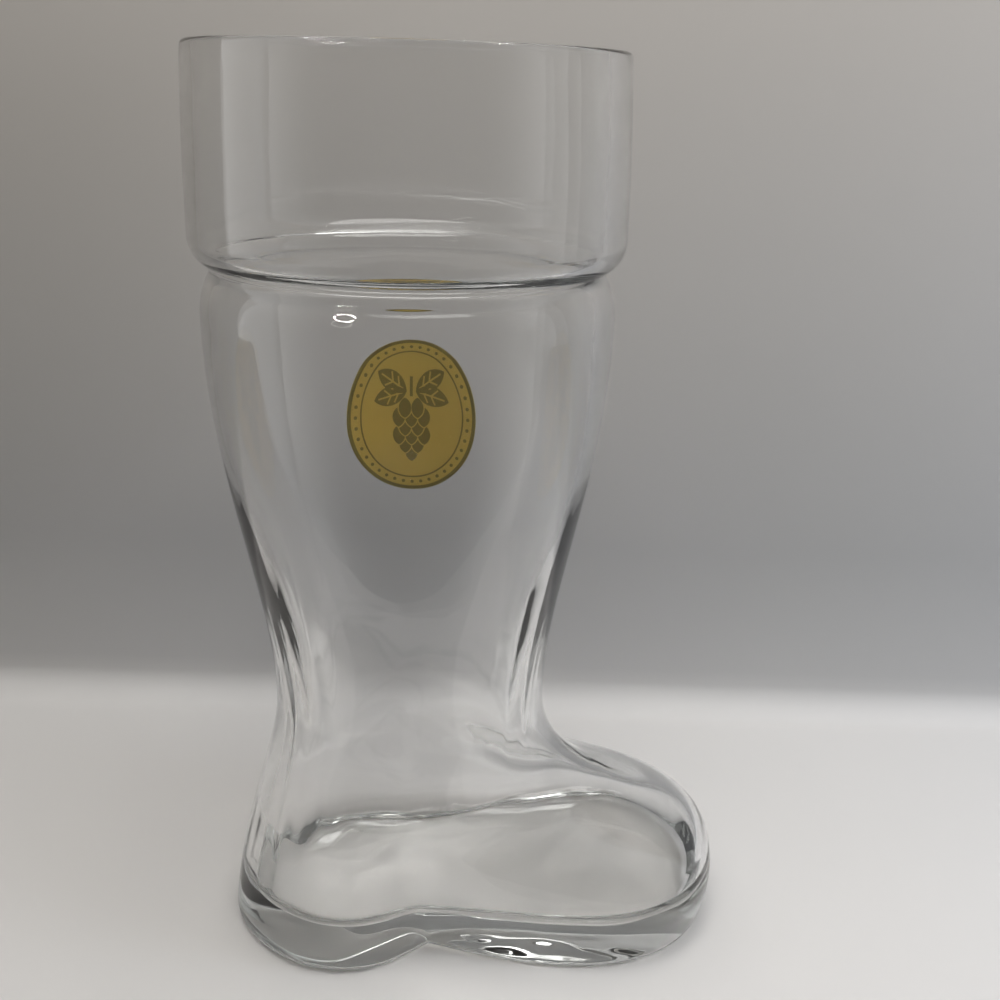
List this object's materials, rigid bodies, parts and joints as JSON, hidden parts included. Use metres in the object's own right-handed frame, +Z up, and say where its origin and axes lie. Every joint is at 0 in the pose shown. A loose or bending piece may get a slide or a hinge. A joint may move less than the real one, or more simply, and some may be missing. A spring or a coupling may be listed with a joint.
{
  "type": "beer boot glass",
  "caption": "Clear drinking glass shaped like a tall boot with a rounded cuff, a hollow foot with a heel notch and an oval enamel badge on one flank.",
  "frame": {"origin": "on the standing face of the sole, on the axis of the shaft", "axes": "+X towards the toe, +Y to the flank with the badge, +Z up the shaft to the rim"},
  "size_m": [0.1508, 0.111, 0.252],
  "materials": {
    "clear_glass": "polished",
    "gold_enamel": "satin",
    "olive_enamel": "satin"
  },
  "bodies": {
    "root": {"glass_boot": "clear_glass", "badge_field": "gold_enamel", "badge_border": "olive_enamel", "badge_beads": "olive_enamel", "badge_hop": "olive_enamel", "badge_leaves": "olive_enamel"}
  },
  "joints": []
}
